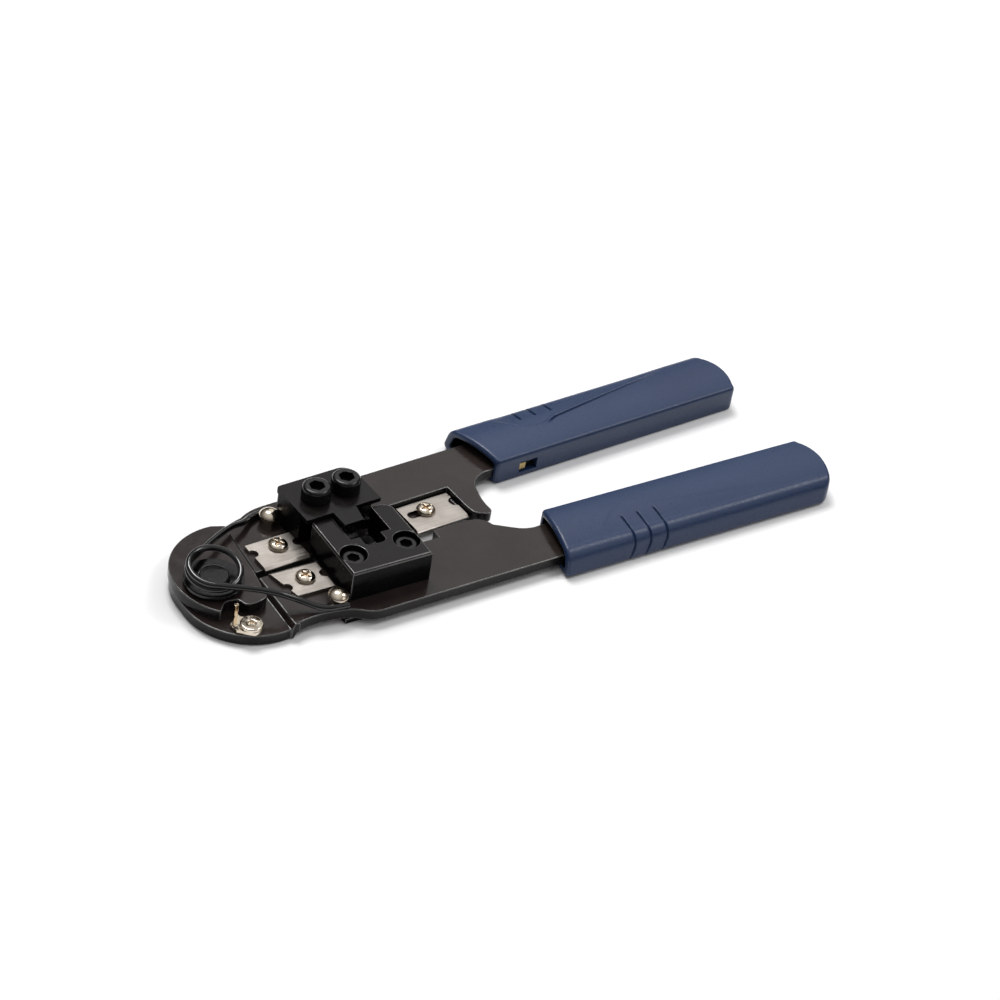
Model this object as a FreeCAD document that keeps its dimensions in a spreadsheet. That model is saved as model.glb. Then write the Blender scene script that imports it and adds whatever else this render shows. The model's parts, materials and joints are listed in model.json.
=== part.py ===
"""Modular-plug crimping tool: two crossing arms on one pivot, with dies, blades, spring and latch.

Both arms are modelled with the pivot axis at the origin, the handles along +X and z = 0 at the
middle of the arm plates. The lower arm lies on the -Y side. The upper arm lies on the +Y side and
is turned about the pivot by rest_angle, which is how far the tool stands open at rest.
"""
import FreeCAD, Part
import math
import os
from FreeCAD import Placement, Rotation, Vector

DIMS = {
    # where the pivot axis lies in the part's frame, and the arm opening at rest
    "pivot_x": -90.42, "pivot_y": -6.615, "pivot_z": 3.4, "rest_angle": 3.5,
    # arms and their round heads
    "plate_half": 1.6, "head_gap": 0.1, "head_bottom": 3.3, "head_radius": 18.9,
    "head_x": 9.5, "head_offset": 2.4, "step_x": 12.5, "step_run": 0.8,
    "tang_end": 168.0, "arm_outer": 24.6,
    # pivot rivet, collar and torsion spring
    "pivot_radius": 4.3, "pivot_fit": 0.05, "pivot_top": 6.5, "pivot_foot_radius": 6.5,
    "pivot_foot_height": 1.2, "collar_foot": 6.2, "collar_radius": 8.1, "collar_bottom": 3.4,
    "collar_top": 5.1, "collar_flange": 0.9, "wire_radius": 0.85, "coil_radius": 6.95,
    "coil_low": 7.1, "coil_high": 9.6, "coil_tilt": 10.0, "near_leg_angle": 23.1,
    "far_leg_angle": 32.4, "leg_low": 2.75, "leg_end": 29.5,
    # spring posts
    "post_x": 28.0, "post_y": 17.7, "post_shank": 1.5, "post_radius": 2.1, "post_neck": 3.7,
    "post_head": 3.0, "post_dome": 1.4,
    # stripper blades and their screws
    "blade_thick": 1.0, "blade_left": 15.9, "blade_right": 30.0, "blade_screw_x": 24.0,
    "blade_screw_y": 6.6, "pan_radius": 2.75, "pan_height": 1.5, "pan_shank": 1.4,
    # plug die
    "block_left": 31.0, "block_right": 55.6, "block_near": 18.8, "block_far": 5.0,
    "block_top": 11.0, "cavity_left": 37.4, "cavity_right": 49.6, "cavity_floor": 5.7,
    "latch_left": 40.2, "latch_right": 46.6, "latch_floor": 9.6, "overhang_lift": 0.3,
    "bore_x1": 35.3, "bore_x2": 51.6, "bore_y": 11.3, "bore_radius": 3.75, "bore_depth": 4.2,
    "die_head_radius": 3.5, "die_head_height": 3.0, "die_shank": 2.0,
    "plate_bottom": 3.3, "plate_top": 1.7,
    # punch side of the die
    "cover_left": 29.6, "cover_right": 53.3, "cover_near": 2.3, "cover_far": 18.6,
    "cover_low": 11.2, "cover_high": 12.5, "anvil_near": 6.2, "tongue_left": 37.9,
    "tongue_right": 43.9, "tongue_reach": 3.6, "cap_x": 37.1, "cap_pitch": 9.5, "cap_y": 10.0,
    "cap_radius": 4.1, "cap_height": 4.2, "cap_shank": 2.5, "hex_depth": 2.4,
    "punch_left": 38.8, "punch_right": 48.2, "punch_reach": 0.6, "punch_low": 5.6,
    "punch_high": 9.2, "punch_slot": 0.45, "relief_low": 2.0, "relief_high": 5.4,
    "relief_reach": 0.6,
    # wire cutter on the upper arm
    "cutter_left": 64.3, "cutter_right": 81.5, "cutter_far": 9.1, "cutter_edge": 2.4,
    "cutter_top": 0.1, "cutter_screw_x": 71.4, "cutter_screw_y": 4.6, "recess_left": 62.4,
    "recess_right": 81.9, "recess_far": 9.5,
    # grips
    "upper_grip_start": 95.4, "upper_grip_end": 190.1, "upper_grip_inner": 9.5,
    "lower_grip_start": 94.6, "lower_grip_end": 190.4, "lower_grip_inner": 7.5,
    "grip_width": 21.3, "grip_edge": 4.7, "grip_crown": 5.7, "grip_bottom": 3.4,
    "mouth_depth": 16.0, "mouth_flare": 3.9,
    # latch
    "latch_x": 2.8, "latch_y": 16.8, "latch_thick": 1.0, "latch_rivet_shank": 1.3,
    "latch_rivet_head": 3.1, "tab_height": 4.4,
}

doc = FreeCAD.newDocument("crimping_tool")
sheet = doc.addObject("Spreadsheet::Sheet", "dims")
for row, (alias, value) in enumerate(DIMS.items(), start=1):
    sheet.set("A%d" % row, alias)
    sheet.set("B%d" % row, str(value))
    sheet.setAlias("B%d" % row, alias)
doc.recompute()


def dim(alias):
    """The value of one driving dimension."""
    return float(sheet.get(alias))


T = dim("plate_half")
GAP = dim("head_gap")
SUBPARTS = []


# ---------------------------------------------------------------- modelling helpers

def place(obj, side):
    """Puts a finished sub-part at the pivot, turned with the arm that carries it."""
    obj.Placement = Placement(Vector(0, 0, 0), Rotation(Vector(0, 0, 1), 1.0))
    for axis in "xyz":
        obj.setExpression("Placement.Base." + axis, "dims.pivot_" + axis)
    angle = "dims.rest_angle" if side == "upper" else "0"
    obj.setExpression("Placement.Rotation.Angle", angle)
    SUBPARTS.append(obj)


def new_body(name, side):
    """An empty PartDesign body for one sub-part."""
    body = doc.addObject("PartDesign::Body", name)
    body.Label = name
    body.AllowCompound = True
    place(body, side)
    return body


def plane(body, role):
    """One of the body's own origin planes or axes."""
    return next(f for f in body.Origin.OriginFeatures if f.Role == role)


def sketch(body, name, role="XY_Plane", height=0.0):
    """A sketch on one of the body's origin planes, lifted along the plane's normal."""
    sk = body.newObject("Sketcher::SketchObject", name)
    sk.AttachmentSupport = [(plane(body, role), "")]
    sk.MapMode = "FlatFace"
    sk.AttachmentOffset = Placement(Vector(0, 0, height), Rotation())
    return sk


def draw(sk, points):
    """A closed outline. A point is (x, y), or (x, y, mid_x, mid_y) to reach it by an arc."""
    last = points[-1][:2]
    for point in points:
        start, end = Vector(last[0], last[1], 0), Vector(point[0], point[1], 0)
        if len(point) == 4:
            edge = Part.Arc(start, Vector(point[2], point[3], 0), end)
        else:
            edge = Part.LineSegment(start, end)
        sk.addGeometry(edge, False)
        last = point[:2]


def ring(sk, x, y, radius):
    """A circle in a sketch."""
    sk.addGeometry(Part.Circle(Vector(x, y, 0), Vector(0, 0, 1), radius), False)


def pad(body, sk, length, name):
    """A pad whose length is a number or an expression on the sheet."""
    feature = body.newObject("PartDesign::Pad", name)
    feature.Profile = sk
    feature.setExpression("Length", str(length))
    sk.Visibility = False
    doc.recompute()
    return feature


def pocket(body, sk, length, name, up=False):
    """A pocket cut down from the sketch, or up from it. One that cuts nothing is an error."""
    before = body.Shape.Volume
    feature = body.newObject("PartDesign::Pocket", name)
    feature.Profile = sk
    feature.Reversed = up
    feature.setExpression("Length", str(length))
    sk.Visibility = False
    doc.recompute()
    if body.Shape.Volume > before - 1e-3:
        raise RuntimeError("%s cuts nothing in %s" % (name, body.Label))


def bore(body, name, x, y, radius, top, depth):
    """A round hole cut down from a height."""
    sk = sketch(body, name + "_circle", height=top)
    ring(sk, x, y, radius)
    pocket(body, sk, depth, name)


def revolve(body, name, x, y, outline):
    """A solid of revolution about a vertical axis at (x, y). Outline points are (radius, z)."""
    sk = sketch(body, name + "_half", "XZ_Plane", height=-y)
    draw(sk, [(x + p[0], p[1]) + tuple(q + (x if i == 0 else 0) for i, q in enumerate(p[2:]))
              for p in outline])
    axis = Part.LineSegment(Vector(x, -20, 0), Vector(x, 30, 0))
    sk.addGeometry(axis, True)
    feature = body.newObject("PartDesign::Revolution", name)
    feature.Profile = sk
    feature.ReferenceAxis = (sk, ["Axis0"])
    feature.Angle = 360.0
    sk.Visibility = False
    doc.recompute()


def cross_recess(body, name, x, y, top, size, depth, turn=0.0):
    """A Phillips recess: two crossed slots."""
    half, arm = size * 0.16, size * 0.62
    for number, (reach_x, reach_y) in enumerate(((arm, half), (half, arm))):
        sk = sketch(body, "%s_bar%d" % (name, number), height=top)
        spin = math.radians(turn)
        corners = [(-reach_x, -reach_y), (reach_x, -reach_y), (reach_x, reach_y), (-reach_x, reach_y)]
        draw(sk, [(x + a * math.cos(spin) - b * math.sin(spin),
                   y + a * math.sin(spin) + b * math.cos(spin)) for a, b in corners])
        pocket(body, sk, depth, "%s_cut%d" % (name, number))


def hex_recess(body, name, x, y, top, radius, depth):
    """A hexagonal socket."""
    sk = sketch(body, name + "_hexagon", height=top)
    corners = [math.radians(60 * k + 15) for k in range(6)]
    draw(sk, [(x + radius * math.cos(a), y + radius * math.sin(a)) for a in corners])
    pocket(body, sk, depth, name)


def repeat(body, spacing, count):
    """Repeats every feature of a body along X."""
    pattern = body.newObject("PartDesign::LinearPattern", "row")
    pattern.Originals = [f for f in body.Group if f.isDerivedFrom("PartDesign::Feature")
                         and f != pattern]
    pattern.Direction = (plane(body, "X_Axis"), [""])
    pattern.setExpression("Length", spacing)
    pattern.Occurrences = count
    body.Tip = pattern
    doc.recompute()


def pan_screw(name, side, x, y, seat, turn):
    """A cross-recess pan-head screw; seat is the height of the blade's top face."""
    body = new_body(name, side)
    shank, head, height = dim("pan_shank"), dim("pan_radius"), dim("pan_height")
    foot = -T + 0.2
    revolve(body, "screw", x, y, [
        (0, foot), (shank, foot), (shank, seat), (head, seat), (head, seat + 0.55 * height),
        (0.3, seat + height, 0.62 * head, seat + 0.9 * height), (0, seat + height)])
    cross_recess(body, "recess", x, y, seat + height + 0.1, head, 1.0, turn)


def spring_post(name, side, sign):
    """A grooved post with a domed head that holds one leg of the torsion spring."""
    body = new_body(name, side)
    neck, head = dim("post_neck"), dim("post_head")
    rim = neck + 0.5
    revolve(body, "post", dim("post_x"), sign * dim("post_y"), [
        (0, -T), (dim("post_shank"), -T), (dim("post_shank"), T), (dim("post_radius"), T),
        (dim("post_radius"), neck), (head, neck), (head, rim),
        (0.4, rim + dim("post_dome"), 0.75 * head, rim + 0.62 * dim("post_dome")),
        (0, rim + dim("post_dome"))])


# ---------------------------------------------------------------- lower arm and what it carries

def head_arc(sign, x):
    """A point of the round head's rim at a given x; sign picks the near or the far side."""
    offset, radius = -dim("head_offset"), dim("head_radius")
    return x, offset + sign * math.sqrt(radius ** 2 - (x - dim("head_x")) ** 2)


def lower_arm():
    """The arm whose round head lies underneath; its plate steps up beside the head."""
    body = new_body("lower_arm", "lower")
    bottom, step, run = dim("head_bottom"), dim("step_x"), dim("step_run")
    joint = step + run
    nose, offset, radius = dim("head_x") - dim("head_radius"), dim("head_offset"), dim("head_radius")
    near, far = head_arc(-1, joint), (7.9, offset + 0.99 * radius)
    shoulder = (nose + 0.3 * radius, offset + 0.71 * radius)
    belly = (nose + 0.3 * radius, -offset - 0.71 * radius)
    disc = sketch(body, "head_outline", height=-bottom)
    draw(disc, [(joint, -0.4), (10.4, 0.6), far, (nose, offset) + shoulder,
                (nose, -offset), near + belly])
    pad(body, disc, bottom - GAP, "head")

    arm = sketch(body, "arm_outline", height=-T)
    edge = dim("arm_outer") + 0.4
    draw(arm, [
        (joint, -0.9), (joint, -21.4), (27.0, -20.9, 20.0, -20.3), (33.0, -23.4, 30.4, -21.8),
        (39.5, -edge, 36.0, -24.8), (94.0, -24.2), (dim("tang_end"), -21.0),
        (dim("tang_end"), -10.0), (97.0, -10.0), (89.5, -8.2, 93.2, -9.9),
        (84.6, -4.8), (80.7, -0.8, 83.0, -2.1), (67.4, -0.9, 74.5, -0.4), (67.4, -4.1), (55.0, -4.1),
        (dim("cavity_right"), -4.1), (dim("cavity_right"), -dim("cavity_floor")),
        (dim("latch_right"), -dim("cavity_floor")), (dim("latch_right"), -dim("latch_floor")),
        (dim("latch_left"), -dim("latch_floor")), (dim("latch_left"), -dim("cavity_floor")),
        (dim("cavity_left"), -dim("cavity_floor")), (dim("cavity_left"), -0.9)])
    pad(body, arm, 2 * T, "plate")

    ramp = sketch(body, "step_profile", "XZ_Plane", height=0.9)
    draw(ramp, [(step, -GAP), (joint, T), (joint + 1.6, T), (joint + 1.6, -T), (joint + 0.8, -T),
                (joint, -bottom), (step, -bottom)])
    pad(body, ramp, 20.5, "step")

    bore(body, "pivot_hole", 0, 0, dim("pivot_radius"), 0, 4.0)
    foot = sketch(body, "foot_circle", height=-bottom)
    ring(foot, 0, 0, dim("pivot_foot_radius"))
    pocket(body, foot, dim("pivot_foot_height"), "foot_recess", up=True)
    bore(body, "latch_hole", dim("latch_x"), -dim("latch_y"), dim("latch_rivet_shank"), 0, 4.0)
    bore(body, "post_hole", dim("post_x"), -dim("post_y"), dim("post_shank"), 2.0, 4.0)
    bore(body, "blade_hole", dim("blade_screw_x"), -dim("blade_screw_y"), dim("pan_shank"), 2.0, 4.0)
    for number in (1, 2):
        bore(body, "die_hole%d" % number, dim("bore_x%d" % number), -dim("bore_y"),
             dim("die_shank"), 2.0, 4.0)


def bevel_top_edges(body, top, size):
    """Bevels the long straight edges of a block's top face."""
    names = ["Edge%d" % number for number, edge in enumerate(body.Shape.Edges, start=1)
             if edge.BoundBox.ZMin > top - 1e-6 and edge.Length > 18.0]
    block = body.Tip
    bevel = body.newObject("PartDesign::Chamfer", "top_bevel")
    bevel.Base = (block, names)
    bevel.Size = size
    doc.recompute()


def lower_die_block():
    """The nest for the plug: an open cavity with a groove for the plug's latch."""
    body = new_body("lower_die_block", "lower")
    left, right, far = dim("block_left"), dim("block_right"), dim("block_far")
    near, top = -dim("block_near"), dim("block_top")
    a, b = dim("cavity_left"), dim("cavity_right")
    c, d = dim("latch_left"), dim("latch_right")
    floor, groove = -dim("cavity_floor"), -dim("latch_floor")
    outline = sketch(body, "block_outline", height=T)
    draw(outline, [
        (left, near), (right, near), (right, far - 3.4), (right - 3.4, far, right - 1.0, far - 1.0),
        (b, far), (b, floor), (d, floor), (d, groove + 0.8), (d - 1.0, groove), (c + 1.0, groove),
        (c, groove + 0.8), (c, floor), (a, floor), (a, far), (left + 1.0, far), (left, far - 1.0)])
    pad(body, outline, "dims.block_top - dims.plate_half", "block")
    bevel_top_edges(body, top, 0.5)
    relief = sketch(body, "overhang_outline", height=T)
    draw(relief, [(left - 1, -1.0), (right + 1, -1.0), (right + 1, far + 1), (left - 1, far + 1)])
    pocket(body, relief, "dims.overhang_lift", "overhang_relief", up=True)
    for number in (1, 2):
        x = dim("bore_x%d" % number)
        bore(body, "counterbore%d" % number, x, -dim("bore_y"), dim("bore_radius"), top,
             "dims.bore_depth")
        bore(body, "shank_hole%d" % number, x, -dim("bore_y"), dim("die_shank"), top, 12.0)


def lower_die_screws():
    """Two socket-head screws sunk in the die block's counterbores."""
    body = new_body("lower_die_screws", "lower")
    seat = dim("block_top") - dim("bore_depth")
    head, shank = dim("die_head_radius"), dim("die_shank") - 0.02
    top = seat + dim("die_head_height")
    foot = -dim("plate_bottom") + 0.3
    revolve(body, "screw", dim("bore_x1"), -dim("bore_y"), [
        (0, foot), (shank, foot), (shank, seat), (head, seat), (head, top - 0.3),
        (head - 0.3, top), (0, top)])
    hex_recess(body, "socket", dim("bore_x1"), -dim("bore_y"), top, 0.52 * head, 1.6)
    repeat(body, "dims.bore_x2 - dims.bore_x1", 2)


def lower_backing_plate():
    """The plate under the arm that the die screws thread into, open where the plug passes."""
    body = new_body("lower_backing_plate", "lower")
    left, right = dim("block_left") - 2.4, dim("block_right") + 1.0
    a, b = dim("cavity_left"), dim("cavity_right")
    floor, height = -dim("latch_floor"), -dim("plate_bottom")
    outline = sketch(body, "plate_outline", height=height)
    draw(outline, [(left, -21.6), (right, -21.6), (right, -4.4), (b, -4.4), (b, floor),
                   (a, floor), (a, -1.4), (left, -1.4)])
    pad(body, outline, "dims.plate_bottom - dims.plate_top", "plate")
    for number in (1, 2):
        bore(body, "hole%d" % number, dim("bore_x%d" % number), -dim("bore_y"),
             dim("die_shank"), -1.0, 4.0)


def blade(name, side, sign, corners, notches):
    """A flat stripper blade with a bevelled cutting edge and half-round notches in its ends."""
    body = new_body(name, side)
    outline = sketch(body, "blade_outline", height=T)
    draw(outline, corners)
    pad(body, outline, "dims.blade_thick", "blade")
    top = T + dim("blade_thick")
    bore(body, "screw_hole", dim("blade_screw_x"), sign * dim("blade_screw_y"),
         dim("pan_shank"), top, 2.0)
    for number, (x, y, radius) in enumerate(notches):
        bore(body, "notch%d" % number, x, y, radius, top, 2.0)
    return body


def bevel_edge(body, name, y, sign, top, width, left, right):
    """Grinds a slope along a straight cutting edge at y; sign is the side the slope faces."""
    slope = sketch(body, name + "_profile", "YZ_Plane", height=left)
    draw(slope, [(y - sign * width, top), (y + sign * 0.5, top - 0.85), (y + sign * 0.5, top + 0.3),
                 (y - sign * width, top + 0.3)])
    pocket(body, slope, right - left, name, up=True)


def lower_stripper_blade():
    """The blade on the lower arm, its cutting edge along the line between the arms."""
    left, right = dim("blade_left"), dim("blade_right")
    body = blade("lower_stripper_blade", "lower", -1,
                 [(left, -1.0), (left + 2.9, -12.4), (right, -12.4), (right, -1.0)],
                 [(left + 1.8, -8.3, 1.5), (right, -6.6, 1.5)])
    bevel_edge(body, "edge", -1.0, 1, T + dim("blade_thick"), 0.9, left - 1, right + 1)


def upper_stripper_blade():
    """The blade on the upper arm, facing the lower one."""
    left, right = dim("blade_left"), dim("blade_right")
    body = blade("upper_stripper_blade", "upper", 1,
                 [(left, -0.6), (right, -0.6), (right, 10.5), (left, 10.5)],
                 [(left + 0.3, 6.6, 1.5), (right, 6.0, 1.5)])
    bevel_edge(body, "edge", -0.6, -1, T + dim("blade_thick"), 0.9, left - 1, right + 1)


def grip(name, side, start, end, inner, tang, window):
    """A moulded handle: flat inside, crowned on top, rounded outside, hollow for the arm's tang.

    The outline is drawn for the +Y arm; the lower grip is its mirror image.
    """
    sign = 1 if side == "upper" else -1
    body = new_body(name, side)
    outer = inner + dim("grip_width")
    edge, crown, low = dim("grip_edge"), dim("grip_crown"), -dim("grip_bottom")
    section = sketch(body, "section", "YZ_Plane", height=start)
    draw(section, [
        (sign * (inner + 0.8), low), (sign * inner, low + 0.8), (sign * inner, edge - 0.3),
        (sign * (inner + 0.3), edge), (sign * (outer - 4.5), crown - 0.9, sign * (inner + 9), crown),
        (sign * (outer - 0.9), 1.9, sign * (outer - 2.1), 3.8), (sign * outer, low + 1.9),
        (sign * (outer - 1.9), low, sign * (outer - 0.5), low + 0.6)])
    pad(body, section, end - start, "bar")
    cut_end = sketch(body, "end_outline", height=10.0)
    draw(cut_end, [
        (end + 1, sign * (inner - 1)), (end - 3.0, sign * (inner - 1)),
        (end - 1.4, sign * (inner + 1.8), end - 1.9, sign * (inner + 0.2)),
        (end - 2.2, sign * (outer - 3.0), end, sign * (inner + 11.0)),
        (end - 7.6, sign * (outer + 1), end - 4.2, sign * (outer - 0.7)),
        (end + 1, sign * (outer + 1))])
    pocket(body, cut_end, 20.0, "rounded_end")
    slant = sketch(body, "mouth_outline", height=10.0)
    flare = dim("mouth_flare")
    draw(slant, [(start - 1, sign * (inner - 1)), (start + flare, sign * (inner - 1)),
                 (start + flare, sign * (inner + 1)), (start, sign * (outer - 1)),
                 (start, sign * (outer + 1)), (start - 1, sign * (outer + 1))])
    pocket(body, slant, 20.0, "slanted_mouth")
    near, far, length = tang
    hollow = sketch(body, "mouth", "YZ_Plane", height=start - 1.0)
    draw(hollow, [(sign * (near - 0.5), -T - 0.9), (sign * (far + 0.9), -T - 0.9),
                  (sign * (far + 0.9), T + 1.5), (sign * (near - 0.5), T + 1.5)])
    pocket(body, hollow, "dims.mouth_depth", "mouth_cut", up=True)
    slot = sketch(body, "slot", "YZ_Plane", height=start + 10.0)
    draw(slot, [(sign * (near - 0.2), -T - 0.05), (sign * far, -T - 0.05), (sign * far, T + 0.05),
                (sign * (near - 0.2), T + 0.05)])
    pocket(body, slot, length - start - 9.8, "slot_cut", up=True)
    if window:
        view = sketch(body, "window", "XZ_Plane", height=1.0 - inner)
        draw(view, [(start + 12.0, -T), (start + 18.4, -T), (start + 18.4, T + 0.4),
                    (start + 12.0, T + 0.4)])
        pocket(body, view, 3.0, "window_cut")


def bent_rod(points, radius):
    """A round rod through straight runs joined by tangent arcs."""
    edges, last = [], points[0]
    for before, corner, after in zip(points, points[1:], points[2:]):
        back, ahead = before - corner, after - corner
        turn = math.pi - back.getAngle(ahead)
        trim = 0.4 * min(back.Length, ahead.Length)
        bend = trim / math.tan(turn / 2)
        start = corner + back.normalize() * trim
        end = corner + ahead.normalize() * trim
        towards = ((start + end) * 0.5 - corner).normalize()
        middle = corner + towards * (bend / math.cos(turn / 2) - bend)
        edges.append(Part.LineSegment(last, start).toShape())
        edges.append(Part.Arc(start, middle, end).toShape())
        last = end
    edges.append(Part.LineSegment(last, points[-1]).toShape())
    section = Part.Wire([Part.makeCircle(radius, points[0], points[1] - points[0])])
    return Part.Wire(edges).makePipeShell([section], True, False)


def torsion_spring():
    """One and a third turns of round wire, leaning forward, with a leg bent down to each post."""
    wire, radius = dim("wire_radius"), dim("coil_radius")
    low, high, rest = dim("coil_low"), dim("coil_high"), dim("leg_low")
    start = 90 + dim("far_leg_angle")
    span = 540 - dim("near_leg_angle") - dim("far_leg_angle")
    tilt = Rotation(Vector(1, 0, 0), dim("coil_tilt"))
    middle = Vector(0, 0, (low + high) / 2)
    steps = 24
    coil = []
    for step in range(steps + 1):
        angle = math.radians(start + span * step / steps)
        rise = (high - low) * (step / steps - 0.5)
        arm = Vector(radius * math.cos(angle), radius * math.sin(angle), rise)
        coil.append(middle + tilt.multVec(arm))

    goal = dim("post_y") + dim("post_radius") + wire + 0.15
    end = dim("leg_end")
    near_leg = [(10.0, -12.2, 7.1), (17.3, -16.1, 4.4), (22.3, 0.7 - goal, rest), (end, -goal, rest)]
    far_leg = [(13.5, 15.9, 6.0), (19.6, 17.5, 4.1), (24.3, goal, rest), (end, goal, rest)]
    spread = Rotation(Vector(0, 0, 1), dim("rest_angle"))
    route = [spread.multVec(Vector(*point)) for point in reversed(far_leg)]
    route += coil + [Vector(*point) for point in near_leg]
    feature = doc.addObject("Part::Feature", "torsion_spring")
    feature.Label = "torsion_spring"
    feature.Shape = bent_rod(route, wire)
    place(feature, "lower")
    length = sum(a.distanceToPoint(b) for a, b in zip(route, route[1:]))
    print("spring wire %.1f mm, volume %.1f mm3 against %.1f mm3 along the sharp route" % (
        length, feature.Shape.Volume, length * math.pi * wire ** 2))


# ---------------------------------------------------------------- pivot

def pivot_rivet():
    """The rivet both heads turn on: fixed in the lower head, a running fit in the upper one."""
    body = new_body("pivot_rivet", "lower")
    radius, top, bottom = dim("pivot_radius"), dim("pivot_top"), -dim("head_bottom")
    foot, step = dim("pivot_foot_radius"), dim("pivot_foot_height")
    revolve(body, "rivet", 0, 0, [
        (0, bottom), (foot, bottom), (foot, bottom + step), (radius, bottom + step),
        (radius, top - 0.4), (radius - 0.4, top), (0, top)])


def spring_collar():
    """The flanged ring round the rivet that keeps the coil in place."""
    body = new_body("spring_collar", "lower")
    outer, inner = dim("collar_radius"), dim("pivot_radius")
    low, top = dim("collar_bottom"), dim("collar_top")
    foot, flange = dim("collar_foot"), dim("collar_flange")
    revolve(body, "collar", 0, 0, [
        (inner, low), (foot, low), (foot, top - flange), (outer, top - flange), (outer, top),
        (inner, top)])


# ---------------------------------------------------------------- upper arm and what it carries

def upper_arm():
    """The arm whose round head lies on top; its plate steps down beside the head."""
    body = new_body("upper_arm", "upper")
    top = dim("head_bottom")
    offset, nose = dim("head_offset"), dim("head_x") - dim("head_radius")
    chord_low, chord_high = (12.4, 0.0), (14.3, 15.5)
    disc = sketch(body, "head_outline", height=GAP)
    near = head_arc(1, -4.0)
    near = (near[0], -near[1])
    draw(disc, [
        chord_low, chord_high, (14.6, 18.0), (15.2, 19.6), (11.5, 21.2), near + (nose, offset),
        (-2.1, -8.9), (0.6, -8.1, -1.0, -8.1), (2.4, -8.5), (3.1, -10.6), (5.0, -11.6, 3.8, -11.4),
        (10.1, -10.8, 7.7, -11.6)])
    pad(body, disc, top - GAP, "head")

    arm = sketch(body, "arm_outline", height=-T)
    outer = dim("arm_outer")
    left, right, far = dim("recess_left"), dim("recess_right"), dim("recess_far")
    draw(arm, [
        (11.6, 0.6), (52.0, 0.6), (left, 0.6), (right, 0.6), (82.1, -1.8),
        (84.6, -4.8, 82.9, -3.7), (87.7, -3.6, 86.9, -5.2), (88.9, 4.0, 87.9, 0.2),
        (96.5, 10.9, 91.6, 8.9), (dim("tang_end"), 12.2), (dim("tang_end"), 22.4),
        (94.0, outer - 0.2), (29.8, outer), (21.7, 22.5, 25.8, 24.1), (17.4, 21.4, 19.6, 22.1),
        (14.9, 19.4, 15.9, 20.5), (13.4, 15.5)])
    pad(body, arm, 2 * T, "plate")

    tilt = math.degrees(math.atan2(chord_high[0] - chord_low[0], chord_high[1]))
    ramp = sketch(body, "step_profile", "XZ_Plane")
    ramp.AttachmentOffset = Placement(Vector(chord_low[0], 0, -0.6), Rotation(Vector(0, 1, 0), -tilt))
    draw(ramp, [(-0.4, T), (-0.4, top), (0, top), (1.1, T)])
    step = pad(body, ramp, 15.2, "step")
    step.Reversed = True
    doc.recompute()

    recess = sketch(body, "recess_outline", height=T)
    draw(recess, [(left, -6.0), (right, -6.0), (right, far), (left, far)])
    pocket(body, recess, "dims.plate_half - dims.cutter_top + dims.blade_thick", "recess")
    bore(body, "pivot_hole", 0, 0, dim("pivot_radius") + dim("pivot_fit"), top, 4.0)
    bore(body, "post_hole", dim("post_x"), dim("post_y"), dim("post_shank"), 2.0, 4.0)
    bore(body, "blade_hole", dim("blade_screw_x"), dim("blade_screw_y"), dim("pan_shank"), 2.0, 4.0)
    bore(body, "cutter_hole", dim("cutter_screw_x"), dim("cutter_screw_y"), dim("pan_shank"), 0.5, 3.0)
    for number in (0, 1):
        bore(body, "die_hole%d" % number, dim("cap_x") + number * dim("cap_pitch"), dim("cap_y"),
             dim("cap_shank"), 2.0, 4.0)


def upper_die_block():
    """The moving half of the die: a thick body, and a cover with a tongue over the cavity."""
    body = new_body("upper_die_block", "upper")
    left, right = dim("cover_left"), dim("cover_right")
    near, far, anvil = dim("cover_near"), dim("cover_far"), dim("anvil_near")
    base = sketch(body, "body_outline", height=T)
    draw(base, [(left + 0.4, anvil), (right, anvil), (right, far - 4.0),
                (right - 4.0, far, right - 1.2, far - 1.2), (left + 1.9, far),
                (left + 0.4, far - 1.5, left + 0.8, far - 0.4)])
    pad(body, base, "dims.cover_low - dims.plate_half", "block")
    cover = sketch(body, "cover_outline", height=dim("cover_low"))
    a, b, reach = dim("tongue_left"), dim("tongue_right"), -dim("tongue_reach")
    draw(cover, [(left, near), (a, near), (a, reach), (b, reach), (b + 1.2, near), (right, near),
                 (right, far - 4.0), (right - 4.0, far, right - 1.2, far - 1.2), (left + 1.5, far),
                 (left, far - 1.5, left + 0.4, far - 0.4)])
    pad(body, cover, "dims.cover_high - dims.cover_low", "cover")
    for number in (0, 1):
        x = dim("cap_x") + number * dim("cap_pitch")
        bore(body, "cap_hole%d" % number, x, dim("cap_y"), dim("cap_shank"), 13.0, 13.0)
    bore(body, "post_clearance", dim("post_x"), dim("post_y"), dim("post_head") + 0.3, 6.3, 6.0)


def contact_punch():
    """The comb that presses the plug's eight contacts home."""
    body = new_body("contact_punch", "upper")
    left, right, tip = dim("punch_left"), dim("punch_right"), -dim("punch_reach")
    back = dim("anvil_near")
    outline = sketch(body, "punch_outline", height=dim("punch_low"))
    draw(outline, [(left, tip), (right, tip), (right, back), (left, back)])
    pad(body, outline, "dims.punch_high - dims.punch_low", "bar")
    slot, pitch = dim("punch_slot"), (right - left + dim("punch_slot")) / 8
    comb = sketch(body, "slots", height=dim("punch_high"))
    for tooth in range(1, 8):
        x = left + tooth * pitch - slot
        draw(comb, [(x, tip - 1), (x + slot, tip - 1), (x + slot, tip + 2.6), (x, tip + 2.6)])
    pocket(body, comb, 6.0, "comb")


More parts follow.
